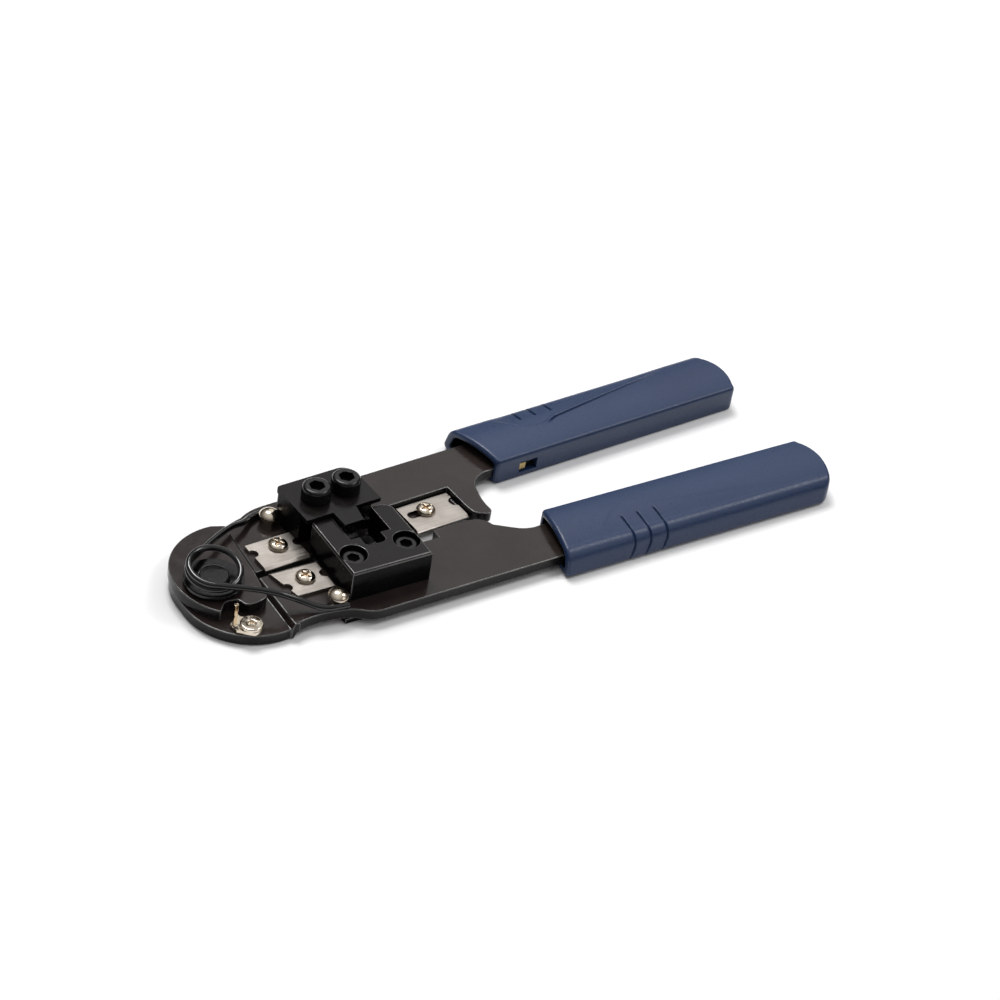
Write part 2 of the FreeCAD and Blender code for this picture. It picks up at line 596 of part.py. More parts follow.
def strain_relief_punch():
    """The bar below the comb that folds the plug's strain relief onto the cable."""
    body = new_body("strain_relief_punch", "upper")
    left, right = dim("punch_left") + 2.2, dim("punch_right") - 2.2
    low, high, tip = dim("relief_low"), dim("relief_high"), -dim("relief_reach")
    profile = sketch(body, "bar_profile", "YZ_Plane", height=left)
    draw(profile, [(tip, low + 1.4), (tip, high - 1.4), (tip + 1.6, high), (dim("anvil_near"), high),
                   (dim("anvil_near"), low), (tip + 1.6, low)])
    pad(body, profile, right - left, "bar")


def upper_die_screws():
    """Two tall socket-head screws that clamp the moving die to the arm."""
    body = new_body("upper_die_screws", "upper")
    seat, head, height = dim("cover_high"), dim("cap_radius"), dim("cap_height")
    shank, foot = dim("cap_shank") - 0.02, -dim("plate_bottom") + 0.2
    revolve(body, "screw", dim("cap_x"), dim("cap_y"), [
        (0, foot), (shank, foot), (shank, seat), (head, seat), (head, seat + height - 0.4),
        (head - 0.4, seat + height), (0, seat + height)])
    hex_recess(body, "socket", dim("cap_x"), dim("cap_y"), seat + height, 0.55 * head,
               "dims.hex_depth")
    repeat(body, "dims.cap_pitch", 2)


def upper_backing_plate():
    """The plate under the upper arm that the tall screws thread into."""
    body = new_body("upper_backing_plate", "upper")
    left, right = dim("cover_left") + 1.0, dim("cover_right") + 0.6
    outline = sketch(body, "plate_outline", height=-dim("plate_bottom"))
    draw(outline, [(left, 2.4), (right, 2.4), (right, 20.4), (left, 20.4)])
    pad(body, outline, "dims.plate_bottom - dims.plate_top", "plate")
    for number in (0, 1):
        bore(body, "hole%d" % number, dim("cap_x") + number * dim("cap_pitch"), dim("cap_y"),
             dim("cap_shank"), -1.0, 4.0)


def cutter_blade():
    """The wire cutter: a slotted blade that lies in the arm's recess and reaches past its edge."""
    body = new_body("cutter_blade", "upper")
    left, right, far = dim("cutter_left"), dim("cutter_right"), dim("cutter_far")
    edge, top = -dim("cutter_edge"), dim("cutter_top")
    outline = sketch(body, "blade_outline", height=top - dim("blade_thick"))
    draw(outline, [(left, edge), (right, edge), (right, 3.0), (right, 6.6, right - 1.8, 4.8),
                   (right, far), (left, far)])
    pad(body, outline, "dims.blade_thick", "blade")
    y, x = dim("cutter_screw_y"), dim("cutter_screw_x")
    slot = sketch(body, "slot_outline", height=top)
    half = dim("pan_shank")
    draw(slot, [(x, y - half), (x, y + half, x + half, y), (left + 2.6, y + half),
                (left + 2.6, y - half, left + 2.6 - half, y)])
    pocket(body, slot, 2.0, "slot")
    bevel_edge(body, "edge", edge, -1, top, 1.0, left - 1, right + 1)


# ---------------------------------------------------------------- latch

def latch_clip():
    """The keeper: a small plate on the lower head whose upright tab drops in the upper head's notch."""
    body = new_body("latch_clip", "lower")
    x, y, thick = dim("latch_x"), -dim("latch_y"), dim("latch_thick")
    outline = sketch(body, "clip_outline")
    draw(outline, [(-2.2, -14.3), (0.5, -11.9), (0.5, -10.6), (1.6, -10.6), (1.7, -12.3),
                   (x + 2.0, y + 2.4), (x - 0.6, y - 3.0, x + 2.9, y - 1.2), (-1.6, -16.9)])
    pad(body, outline, "dims.latch_thick", "clip")
    tab = sketch(body, "tab_outline")
    draw(tab, [(0.5, -11.5), (1.6, -11.5), (1.6, -10.6), (0.5, -10.6)])
    pad(body, tab, "dims.tab_height", "tab")
    bore(body, "rivet_hole", x, y, dim("latch_rivet_shank") + dim("pivot_fit"), thick + 0.5, 3.0)


def latch_rivet():
    """The dished rivet that the latch turns on."""
    body = new_body("latch_rivet", "lower")
    shank, head = dim("latch_rivet_shank"), dim("latch_rivet_head")
    seat, foot = dim("latch_thick") + 0.1, -dim("head_bottom")
    revolve(body, "rivet", dim("latch_x"), -dim("latch_y"), [
        (0, foot), (shank, foot), (shank, seat), (head, seat), (head, seat + 0.5),
        (0.82 * head, seat + 1.0, 0.95 * head, seat + 0.85), (0.5 * head, seat + 0.7),
        (0.45 * head, seat + 0.35), (0, seat + 0.35)])


def grip_clip():
    """The brass strip on the tang that shows through the upper grip's window."""
    body = new_body("grip_clip", "upper")
    start = dim("upper_grip_start")
    outline = sketch(body, "strip_outline", height=-T + 0.5)
    draw(outline, [(start + 12.4, 10.1), (start + 14.7, 10.1), (start + 14.7, 10.85),
                   (start + 12.4, 10.85)])
    pad(body, outline, 2 * T - 1.0, "strip")


lower_arm()
grip("lower_grip", "lower", dim("lower_grip_start"), dim("lower_grip_end"),
     dim("lower_grip_inner"), (10.0, 24.3, dim("tang_end")), False)
lower_die_block()
lower_die_screws()
lower_backing_plate()
lower_stripper_blade()
pan_screw("lower_blade_screw", "lower", dim("blade_screw_x"), -dim("blade_screw_y"),
          T + dim("blade_thick"), 20)
spring_post("lower_spring_post", "lower", -1)
pivot_rivet()
spring_collar()
torsion_spring()
latch_clip()
latch_rivet()
upper_arm()
grip("upper_grip", "upper", dim("upper_grip_start"), dim("upper_grip_end"),
     dim("upper_grip_inner"), (10.9, 24.5, dim("tang_end")), True)
grip_clip()
upper_die_block()
contact_punch()
strain_relief_punch()
upper_die_screws()
upper_backing_plate()
upper_stripper_blade()
pan_screw("upper_blade_screw", "upper", dim("blade_screw_x"), dim("blade_screw_y"),
          T + dim("blade_thick"), 35)
spring_post("upper_spring_post", "upper", 1)
cutter_blade()
pan_screw("cutter_screw", "upper", dim("cutter_screw_x"), dim("cutter_screw_y"),
          dim("cutter_top"), 10)

# ---------------------------------------------------------------- checks and files

doc.recompute()
for obj in doc.Objects:
    if "Invalid" in obj.State or "Error" in obj.State:
        raise RuntimeError("%s (%s) failed: %s" % (obj.Label, obj.Name, obj.State))
box = FreeCAD.BoundBox()
os.makedirs("parts", exist_ok=True)
for part in SUBPARTS:
    shape = part.Shape
    if shape.isNull() or not shape.isValid() or not shape.Solids:
        raise RuntimeError("%s has no valid solid" % part.Label)
    box.add(shape.BoundBox)
for part in SUBPARTS:
    part.Shape.exportStep("parts/%s.step" % part.Label)
    print("%-24s %d solid(s) %9.1f mm3" % (part.Label, len(part.Shape.Solids), part.Shape.Volume))
print("box x %.2f..%.2f y %.2f..%.2f z %.2f..%.2f" % (
    box.XMin, box.XMax, box.YMin, box.YMax, box.ZMin, box.ZMax))
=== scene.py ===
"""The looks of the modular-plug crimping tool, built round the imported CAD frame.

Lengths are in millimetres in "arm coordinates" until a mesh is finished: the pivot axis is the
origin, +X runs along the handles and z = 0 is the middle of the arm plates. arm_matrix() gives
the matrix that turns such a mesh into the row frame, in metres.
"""
import json
import math

import bmesh
import bpy
from mathutils import Matrix, Vector


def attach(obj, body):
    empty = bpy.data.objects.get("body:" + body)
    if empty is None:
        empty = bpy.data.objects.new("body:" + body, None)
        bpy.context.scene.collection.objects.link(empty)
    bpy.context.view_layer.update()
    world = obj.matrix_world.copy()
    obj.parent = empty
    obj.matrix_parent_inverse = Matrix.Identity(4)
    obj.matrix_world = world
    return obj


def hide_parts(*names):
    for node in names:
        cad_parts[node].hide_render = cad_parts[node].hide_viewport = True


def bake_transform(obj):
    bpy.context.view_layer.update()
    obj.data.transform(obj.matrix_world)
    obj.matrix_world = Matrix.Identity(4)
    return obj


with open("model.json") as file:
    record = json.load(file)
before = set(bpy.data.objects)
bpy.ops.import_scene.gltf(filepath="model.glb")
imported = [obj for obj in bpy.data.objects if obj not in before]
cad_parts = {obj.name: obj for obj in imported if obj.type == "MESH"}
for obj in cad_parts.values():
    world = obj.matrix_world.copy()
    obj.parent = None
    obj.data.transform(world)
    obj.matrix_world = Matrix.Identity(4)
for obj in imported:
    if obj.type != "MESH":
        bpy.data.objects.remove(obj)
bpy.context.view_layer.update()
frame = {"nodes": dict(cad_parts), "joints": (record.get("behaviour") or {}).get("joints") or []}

JOINTS = {joint["name"]: joint for joint in frame["joints"]}
PIVOT = Vector(JOINTS["arm_pivot"]["pos_m"])
MM = 0.001
REST_ANGLE = 3.5            # degrees that the upper arm stands open
PLATE = 1.6                 # half the arm plates' thickness
BLADE_TOP = PLATE + 1.0     # top of the stripper blades
HEAD_BOTTOM = -3.3          # underside of the lower arm's head
POST_X, POST_Y = 28.0, 17.7     # spring posts, mirrored about the line between the arms
POST_RADIUS = 2.1
LATCH_X, LATCH_Y = 2.8, -16.8
WIRE = 0.85                 # radius of the spring's wire


# ---------------------------------------------------------------- finishing meshes

def arm_matrix(side):
    """From arm coordinates in millimetres to the row frame in metres."""
    turn = Matrix.Rotation(math.radians(REST_ANGLE if side == "upper" else 0), 4, "Z")
    return Matrix.Translation(PIVOT) @ turn @ Matrix.Scale(MM, 4)


def new_object(name, mesh):
    obj = bpy.data.objects.new(name, mesh)
    bpy.context.scene.collection.objects.link(obj)
    return obj


def from_bmesh(name, bm):
    """A new object from a bmesh, which is freed."""
    bmesh.ops.recalc_face_normals(bm, faces=bm.faces)
    mesh = bpy.data.meshes.new(name)
    bm.to_mesh(mesh)
    bm.free()
    return new_object(name, mesh)


def bake(obj):
    """Applies the object's modifiers."""
    bpy.context.view_layer.update()
    graph = bpy.context.evaluated_depsgraph_get()
    mesh = bpy.data.meshes.new_from_object(obj.evaluated_get(graph))
    obj.modifiers.clear()
    obj.data = mesh
    mesh.name = obj.name


def subtract(obj, cutter):
    """Cuts one object out of another and deletes the cutter."""
    cut = obj.modifiers.new("cut", "BOOLEAN")
    cut.operation = "DIFFERENCE"
    cut.solver = "EXACT"
    cut.use_self = True
    cut.object = cutter
    bake(obj)
    bpy.data.objects.remove(cutter)


def bevel(obj, width, angle=30, edge_slot=0, segments=3, clamp=False):
    """Rounds every edge sharper than the angle; the new faces take the given material slot."""
    edges = obj.modifiers.new("bevel", "BEVEL")
    edges.width = width
    edges.segments = segments
    edges.limit_method = "ANGLE"
    edges.angle_limit = math.radians(angle)
    edges.use_clamp_overlap = clamp
    edges.material = edge_slot
    for face in obj.data.polygons:
        face.use_smooth = True
    normals = obj.modifiers.new("normals", "WEIGHTED_NORMAL")
    normals.weight = 90
    normals.thresh = 0.001
    bake(obj)


def smooth(obj, angle=35):
    """Smooth shading, with edges sharper than the angle left crisp."""
    for face in obj.data.polygons:
        face.use_smooth = True
    obj.data.set_sharp_from_angle(angle=math.radians(angle))


def dress(obj, body, nodes, slot, *materials):
    """Gives a finished piece its materials, its body and the CAD nodes it stands for, which it
    hides; slot is not used.
    """
    for index, material in enumerate(materials):
        if index < len(obj.data.materials):
            obj.data.materials[index] = material
        else:
            obj.data.materials.append(material)
    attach(obj, body)
    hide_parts(*nodes)
    return obj


# ---------------------------------------------------------------- materials

def shader(name, colour, roughness, metallic=0.0):
    """A material with a principled shader, and short ways to add nodes to it."""
    material = bpy.data.materials.new(name)
    material.use_nodes = True
    principled = material.node_tree.nodes["Principled BSDF"]
    principled.inputs["Base Color"].default_value = (*colour, 1)
    principled.inputs["Roughness"].default_value = roughness
    principled.inputs["Metallic"].default_value = metallic
    return material, principled


def add(material, kind, **values):
    """A node with some of its inputs or settings given."""
    node = material.node_tree.nodes.new(kind)
    for key, value in values.items():
        if key in node.inputs:
            node.inputs[key].default_value = value
        else:
            setattr(node, key, value)
    return node


def wire(material, source, target):
    material.node_tree.links.new(source, target)


def noise(material, scale, detail=3.0, stretch=(1, 1, 1), rough=0.5):
    """Noise over object coordinates; scale is in cells per metre."""
    where = add(material, "ShaderNodeTexCoord")
    mapping = add(material, "ShaderNodeMapping")
    mapping.inputs["Scale"].default_value = stretch
    wire(material, where.outputs["Object"], mapping.inputs["Vector"])
    texture = add(material, "ShaderNodeTexNoise", Scale=scale, Detail=detail, Roughness=rough)
    wire(material, mapping.outputs["Vector"], texture.inputs["Vector"])
    return texture.outputs["Fac"]


def between(material, fac, low, high, start=0.35, end=0.65):
    """Maps noise to a range of values."""
    node = add(material, "ShaderNodeMapRange")
    for key, value in (("From Min", start), ("From Max", end), ("To Min", low), ("To Max", high)):
        node.inputs[key].default_value = value
    wire(material, fac, node.inputs["Value"])
    return node.outputs["Result"]


def tint(material, principled, fac, dark, light, start=0.35, end=0.65):
    """Varies the base colour between two colours."""
    ramp = add(material, "ShaderNodeValToRGB")
    ramp.color_ramp.elements[0].position = start
    ramp.color_ramp.elements[0].color = (*dark, 1)
    ramp.color_ramp.elements[1].position = end
    ramp.color_ramp.elements[1].color = (*light, 1)
    wire(material, fac, ramp.inputs["Fac"])
    wire(material, ramp.outputs["Color"], principled.inputs["Base Color"])


def bumps(material, principled, layers):
    """Stacks bump layers, each (height, depth in metres)."""
    below = None
    for height, depth in layers:
        bump = add(material, "ShaderNodeBump", Strength=1.0, Distance=depth)
        wire(material, height, bump.inputs["Height"])
        if below is not None:
            wire(material, below, bump.inputs["Normal"])
        below = bump.outputs["Normal"]
    wire(material, below, principled.inputs["Normal"])


def black_paint(name, dark, light, rough_low, rough_high, gloss, peel=0.00002):
    """Stoved black paint or oxide: faint colour mottling, orange peel and uneven gloss."""
    material, principled = shader(name, dark, rough_low)
    principled.inputs["Specular IOR Level"].default_value = gloss
    tint(material, principled, noise(material, 90, 4), dark, light)
    cloud = noise(material, 260, 5, rough=0.6)
    wire(material, between(material, cloud, rough_low, rough_high), principled.inputs["Roughness"])
    bumps(material, principled, [
        (noise(material, 900, 2), peel), (noise(material, 6000, 2), peel * 0.25)])
    return material


def brushed(name, dark, light, rough, stretch, depth=0.000006):
    """Ground or plated sheet metal with fine parallel grinding marks."""
    material, principled = shader(name, light, rough, metallic=1.0)
    lines = noise(material, 1500, 3, stretch)
    tint(material, principled, noise(material, 200, 3), dark, light)
    wire(material, between(material, lines, rough * 0.75, rough * 1.3),
         principled.inputs["Roughness"])
    bumps(material, principled, [(lines, depth), (noise(material, 500, 3), depth)])
    return material


def plated(name, dark, light, rough):
    """Bright nickel plate, slightly uneven."""
    material, principled = shader(name, light, rough, metallic=1.0)
    tint(material, principled, noise(material, 350, 4), dark, light)
    wire(material, between(material, noise(material, 700, 3), rough * 0.6, rough * 1.6),
         principled.inputs["Roughness"])
    bumps(material, principled, [(noise(material, 1400, 3), 0.000004)])
    return material


def moulded_plastic(name, dark, light):
    """Navy plastic from a spark-eroded mould: fine grain and faint flow marks."""
    material, principled = shader(name, dark, 0.45)
    principled.inputs["Specular IOR Level"].default_value = 0.42
    tint(material, principled, noise(material, 60, 4, (0.3, 1, 1)), dark, light)
    grain = noise(material, 1900, 3, rough=0.65)
    wire(material, between(material, grain, 0.27, 0.42), principled.inputs["Roughness"])
    bumps(material, principled, [
        (noise(material, 150, 3), 0.00005), (grain, 0.00006), (noise(material, 6000, 2), 0.00001)])
    return material


ARM_BLACK = black_paint(
    "arm_black", (0.018, 0.0130, 0.0118), (0.026, 0.0190, 0.0172), 0.13, 0.24, 0.34)
# Painted shade: the arms' side faces take a darker copy of the paint, also with less gloss.
ARM_SIDE_SHADE = black_paint(
    "arm_side_painted_shade", (0.006, 0.0054, 0.0052), (0.010, 0.009, 0.009), 0.18, 0.30, 0.18)
# Painted highlight: the arms' bevels take a lighter, glossier copy of the paint, so their edges
# show bright lines.
ARM_EDGE_HIGHLIGHT = black_paint(
    "arm_edge_painted_highlight", (0.03, 0.028, 0.027), (0.07, 0.067, 0.064), 0.14, 0.24, 0.9)
DIE_BLACK = black_paint(
    "die_black", (0.005, 0.0041, 0.0038), (0.008, 0.0066, 0.0062), 0.15, 0.26, 0.22)
# Painted shade: the side faces of the dies and backing plates take a darker copy of the paint, also
# with little gloss.
DIE_SIDE_SHADE = black_paint(
    "die_side_painted_shade", (0.002, 0.002, 0.0023), (0.004, 0.004, 0.0046), 0.16, 0.28, 0.06)
# Painted highlight: the bevels of the dies and backing plates take a lighter, glossier copy of the
# paint.
DIE_EDGE_HIGHLIGHT = black_paint(
    "die_edge_painted_highlight", (0.03, 0.029, 0.028), (0.08, 0.077, 0.074), 0.14, 0.24, 0.9)
OXIDE = black_paint(
    "black_oxide", (0.003, 0.003, 0.0035), (0.006, 0.006, 0.007), 0.10, 0.22, 0.38)
WIRE_BLACK = black_paint(
    "spring_black", (0.002, 0.002, 0.0025), (0.004, 0.004, 0.005), 0.05, 0.14, 0.6, peel=0.000008)
# Painted shadow: a near-black paint for the inside of the grips' mouths.
MOUTH_SHADOW = black_paint(
    "mouth_shadow", (0.002, 0.002, 0.003), (0.004, 0.004, 0.005), 0.5, 0.7, 0.1)
BLADE = brushed(
    "blade_steel", (0.29, 0.265, 0.240), (0.36, 0.331, 0.302), 0.46, (0.05, 1.0, 1.0))
BRASS = brushed("brass", (0.30, 0.22, 0.09), (0.50, 0.38, 0.18), 0.25, (1.0, 0.1, 1.0))
NICKEL = plated("nickel", (0.57, 0.48, 0.37), (0.78, 0.70, 0.59), 0.14)
NAVY = moulded_plastic("grip_navy", (0.011, 0.027, 0.076), (0.015, 0.034, 0.092))


# ---------------------------------------------------------------- shapes

def circle_centre(first, middle, last):
    """Centre of the circle through three points of a plane."""
    (ax, ay), (bx, by), (cx, cy) = first, middle, last
    d = 2 * (ax * (by - cy) + bx * (cy - ay) + cx * (ay - by))
    a2, b2, c2 = ax * ax + ay * ay, bx * bx + by * by, cx * cx + cy * cy
    return ((a2 * (by - cy) + b2 * (cy - ay) + c2 * (ay - by)) / d,
            (a2 * (cx - bx) + b2 * (ax - cx) + c2 * (bx - ax)) / d)


def arc(first, middle, last, count):
    """Points along the circle through three points of a plane, the first one left out."""
    ux, uy = circle_centre(first, middle, last)
    radius = math.hypot(first[0] - ux, first[1] - uy)
    start, mid, end = (math.atan2(y - uy, x - ux) for x, y in (first, middle, last))
    span = (end - start) % math.tau
    if (mid - start) % math.tau > span:
        span -= math.tau
    angles = [start + span * k / count for k in range(1, count + 1)]
    return [(ux + radius * math.cos(t), uy + radius * math.sin(t)) for t in angles]


def arc_value(points, at, along=0):
    """The other coordinate of the circle through three points where one coordinate is `at`."""
    first, middle, last = [(p[along], p[1 - along]) for p in points]
    ux, uy = circle_centre(first, middle, last)
    square = (first[0] - ux) ** 2 + (first[1] - uy) ** 2 - (at - ux) ** 2
    return uy + math.copysign(math.sqrt(max(square, 0.0)), middle[1] - uy)


def lathe(bm, x, y, profile, segments=72):
    """Turns a closed profile of (radius, z) about a vertical axis at (x, y)."""
    rings = []
    for radius, z in profile:
        if radius < 1e-6:
            rings.append([bm.verts.new((x, y, z))])
        else:
            turns = [math.tau * k / segments for k in range(segments)]
            rings.append([bm.verts.new((x + radius * math.cos(t), y + radius * math.sin(t), z))
                          for t in turns])
    for below, above in zip(rings, rings[1:]):
        for k in range(segments):
            n = (k + 1) % segments
            corners = [below[k % len(below)], below[n % len(below)],
                       above[n % len(above)], above[k % len(above)]]
            bm.faces.new(list(dict.fromkeys(corners)))


def prism(bm, outline, bottom, top, taper=1.0):
    """A closed prism over an outline; taper scales its lower end about the outline's middle."""
    count = len(outline)
    cx, cy = sum(p[0] for p in outline) / count, sum(p[1] for p in outline) / count
    low = [bm.verts.new((cx + (x - cx) * taper, cy + (y - cy) * taper, bottom)) for x, y in outline]
    high = [bm.verts.new((x, y, top)) for x, y in outline]
    bm.faces.new(low)
    bm.faces.new(high)
    for k in range(count):
        n = (k + 1) % count
        bm.faces.new([low[k], low[n], high[n], high[k]])


def rod(name, path, radius, segments=20):
    """A round rod along a path of points, with flat ends."""
    bm = bmesh.new()
    rings, side = [], Vector((0, 0, 1))
    for k, point in enumerate(path):
        ahead = (path[min(k + 1, len(path) - 1)] - path[max(k - 1, 0)]).normalized()
        side = (side - ahead * side.dot(ahead)).normalized()
        across = ahead.cross(side)
        rings.append([bm.verts.new(point + (side * math.cos(t) + across * math.sin(t)) * radius)
                      for t in (math.tau * s / segments for s in range(segments))])
    for below, above in zip(rings, rings[1:]):
        for s in range(segments):
            n = (s + 1) % segments
            bm.faces.new([below[s], below[n], above[n], above[s]])
    bm.faces.new(rings[0])
    bm.faces.new(rings[-1])
    return from_bmesh(name, bm)


def soften(points, rounds=4):
    """Rounds a polyline's corners by cutting them again and again; the ends stay."""
    for _ in range(rounds):
        cut = [points[0]]
        for a, b in zip(points, points[1:]):
            cut += [a.lerp(b, 0.25), a.lerp(b, 0.75)]
        points = cut + [points[-1]]
    return points


# ---------------------------------------------------------------- pieces made from CAD nodes

def refined(node, body, slot, width, face, edge, side=None, clamp=False):
    """A CAD node's shape with its edges rounded, and its own materials for edges and sides; the
    arms, dies and backing plates get a lighter painted highlight on the bevels and a darker painted
    shade on the side faces.
    """
    mesh = frame["nodes"][node].data.copy()
    mesh.materials.clear()
    bm = bmesh.new()
    bm.from_mesh(mesh)
    bmesh.ops.remove_doubles(bm, verts=bm.verts, dist=0.000002)
    bmesh.ops.dissolve_limit(bm, angle_limit=math.radians(0.4), verts=bm.verts, edges=bm.edges)
    obj = from_bmesh(node + "_piece", bm)
    bpy.data.meshes.remove(mesh)
    stale = obj.data.attributes.get("custom_normal")
    if stale is not None:
        obj.data.attributes.remove(stale)
    obj.data.materials.append(face)
    obj.data.materials.append(edge)
    obj.data.materials.append(side or face)
    bevel(obj, width * MM, edge_slot=1, clamp=clamp)
    # Steep faces take the side material; for the arms, dies and backing plates that is a darker
    # copy of the paint, a painted shade.
    for polygon in obj.data.polygons:
        if polygon.material_index == 0 and abs(polygon.normal.z) < 0.3:
            polygon.material_index = 2
    return dress(obj, body, [node], slot, face, edge, side or face)


refined("lower_arm", "lower", "arm_steel", 0.30, ARM_BLACK, ARM_EDGE_HIGHLIGHT, ARM_SIDE_SHADE)
refined("upper_arm", "upper", "arm_steel", 0.30, ARM_BLACK, ARM_EDGE_HIGHLIGHT, ARM_SIDE_SHADE)
refined("lower_die_block", "lower", "die_black", 0.20, DIE_BLACK, DIE_EDGE_HIGHLIGHT, DIE_SIDE_SHADE)
refined("upper_die_block", "upper", "die_black", 0.16, DIE_BLACK, DIE_EDGE_HIGHLIGHT, DIE_SIDE_SHADE, clamp=True)
refined("lower_backing_plate", "lower", "die_black", 0.2, DIE_BLACK, DIE_EDGE_HIGHLIGHT, DIE_SIDE_SHADE)
refined("upper_backing_plate", "upper", "die_black", 0.2, DIE_BLACK, DIE_EDGE_HIGHLIGHT, DIE_SIDE_SHADE)
refined("contact_punch", "upper", "black_oxide", 0.06, OXIDE, OXIDE)
refined("strain_relief_punch", "upper", "black_oxide", 0.12, OXIDE, OXIDE)
refined("lower_stripper_blade", "lower", "blade_steel", 0.08, BLADE, BLADE)
refined("upper_stripper_blade", "upper", "blade_steel", 0.08, BLADE, BLADE)
refined("cutter_blade", "upper", "blade_steel", 0.08, BLADE, BLADE, OXIDE)
refined("latch_clip", "latch", "nickel", 0.10, NICKEL, NICKEL, clamp=True)
refined("grip_clip", "upper", "brass", 0.08, BRASS, BRASS)


# ---------------------------------------------------------------- turned pieces

def finish_turned(name, bm, side, body, nodes, slot, material, edge=0.08, cutter=None):
    """Places a turned piece, cuts its drive recess and rounds its edges."""
    obj = from_bmesh(name, bm)
    if cutter is not None:
        subtract(obj, from_bmesh(name + "_cutter", cutter))
    bevel(obj, edge, angle=40, segments=2)
    obj.data.transform(arm_matrix(side))
    return dress(obj, body, nodes, slot, material)


def phillips(cutter, x, y, top, reach, depth, turn):
    """A tapered cross, to be cut into a screw's head."""
    for quarter in (0, 90):
        spin = Matrix.Rotation(math.radians(turn + quarter), 2)
        half = reach * 0.21
        corners = [spin @ Vector(p) for p in
                   ((-reach, -half), (reach, -half), (reach, half), (-reach, half))]
        prism(cutter, [(x + p.x, y + p.y) for p in corners], top - depth, top + 0.3, taper=0.45)


def pan_screw(node, side, x, y, seat, turn):
    """A nickel pan-head screw: domed head, rounded rim and Phillips recess."""
    head, height = 2.75, 1.5
    rim = seat + 0.45 * height
    bm, cutter = bmesh.new(), bmesh.new()
    lathe(bm, x, y, [(0, -PLATE + 0.2), (1.4, -PLATE + 0.2), (1.4, seat), (head - 0.12, seat),
                     (head, seat + 0.12), (head, rim)]
          + arc((head, rim), (0.82 * head, seat + 0.84 * height), (0.45 * head, seat + height), 8)
          + [(0, seat + height)])
    phillips(cutter, x, y, seat + height, 2.0, 1.2, turn)
    finish_turned(node + "_piece", bm, side, side, [node], "nickel", NICKEL, 0.07, cutter)


def spring_post(node, side, y):
    """A spring post: a shank under a bright domed head."""
    neck, head = 3.7, 3.0
    rim, crown = neck + 0.45, neck + 1.9
    bm = bmesh.new()
    lathe(bm, POST_X, y, [(0, -PLATE), (POST_RADIUS, -PLATE), (POST_RADIUS, neck),
                          (head - 0.1, neck), (head, neck + 0.1), (head, rim)]
          + arc((head, rim), (0.72 * head, rim + 0.95), (0.03, crown), 12) + [(0, crown)])
    finish_turned(node + "_piece", bm, side, side, [node], "nickel", NICKEL, 0.05)


def socket_screws(node, side, places, seat, foot, head, height, shank, socket, depth, knurl):
    """Black socket-head screws with a knurled side and a hexagon socket, as one piece."""
    bm, cutter = bmesh.new(), bmesh.new()
    teeth, top = 48, seat + height
    for x, y in places:
        lathe(bm, x, y, [(0, foot), (shank, foot), (shank, seat), (head - 0.25, seat),
                         (head, seat + 0.25), (head, top - 0.95)]
              + arc((head - 0.08, top - 0.9), (head - 0.33, top - 0.25), (head - 0.95, top), 6)
              + [(0, top)], segments=4 * teeth)
        for vert in bm.verts:
            radius = math.hypot(vert.co.x - x, vert.co.y - y)
            if abs(radius - head) < 1e-4:
                turn = math.atan2(vert.co.y - y, vert.co.x - x)
                shrink = 1 - knurl * (0.5 + 0.5 * math.cos(teeth * turn)) / head
                vert.co.x, vert.co.y = x + (vert.co.x - x) * shrink, y + (vert.co.y - y) * shrink
        corners = [math.radians(60 * k + 15) for k in range(6)]
        prism(cutter, [(x + socket * math.cos(a), y + socket * math.sin(a)) for a in corners],
              top - depth, top + 0.3)
    finish_turned(node + "_piece", bm, side, side, [node], "black_oxide", OXIDE, 0.06, cutter)


pan_screw("lower_blade_screw", "lower", 24.0, -6.6, BLADE_TOP, 20)
pan_screw("upper_blade_screw", "upper", 24.0, 6.6, BLADE_TOP, 35)
pan_screw("cutter_screw", "upper", 71.4, 4.6, 0.1, 10)
spring_post("lower_spring_post", "lower", -POST_Y)
spring_post("upper_spring_post", "upper", POST_Y)
socket_screws("lower_die_screws", "lower", ((35.3, -11.3), (51.6, -11.3)), 6.8, -3.0, 3.5, 3.0,
              1.98, 1.85, 1.7, 0.05)
socket_screws("upper_die_screws", "upper", ((37.1, 10.0), (46.6, 10.0)), 12.5, -3.1, 4.1, 4.2,
              2.48, 2.3, 2.6, 0.07)

rivet = bmesh.new()
lathe(rivet, 0, 0, [(0, HEAD_BOTTOM), (6.5, HEAD_BOTTOM), (6.5, -2.1), (4.3, -2.1), (4.3, 6.0),
                    (3.9, 6.45), (3.6, 6.5), (0, 6.5)])
finish_turned("pivot_rivet_piece", rivet, "lower", "lower", ["pivot_rivet"], "black_oxide",
              OXIDE, 0.1)

collar = bmesh.new()
ring = [(4.3, 3.4), (6.2, 3.4), (6.2, 4.2), (8.1, 4.2), (8.1, 5.1), (4.3, 5.1), (4.3, 3.4)]
lathe(collar, 0, 0, ring)
bmesh.ops.remove_doubles(collar, verts=collar.verts, dist=1e-5)
finish_turned("spring_collar_piece", collar, "lower", "lower", ["spring_collar"], "black_oxide",
              OXIDE, 0.12)

ringed = bmesh.new()
lathe(ringed, LATCH_X, LATCH_Y,
      [(0, HEAD_BOTTOM), (1.3, HEAD_BOTTOM), (1.3, 1.1), (2.95, 1.1), (3.1, 1.25), (3.1, 1.7)]
      + arc((3.1, 1.7), (2.98, 1.99), (2.7, 2.1), 6)
      + arc((1.4, 2.06), (1.12, 1.93), (1.05, 1.7), 5) + [(0.95, 1.3), (0, 1.3)])
finish_turned("latch_rivet_piece", ringed, "lower", "lower", ["latch_rivet"], "nickel",
              NICKEL, 0.05)


# ---------------------------------------------------------------- torsion spring

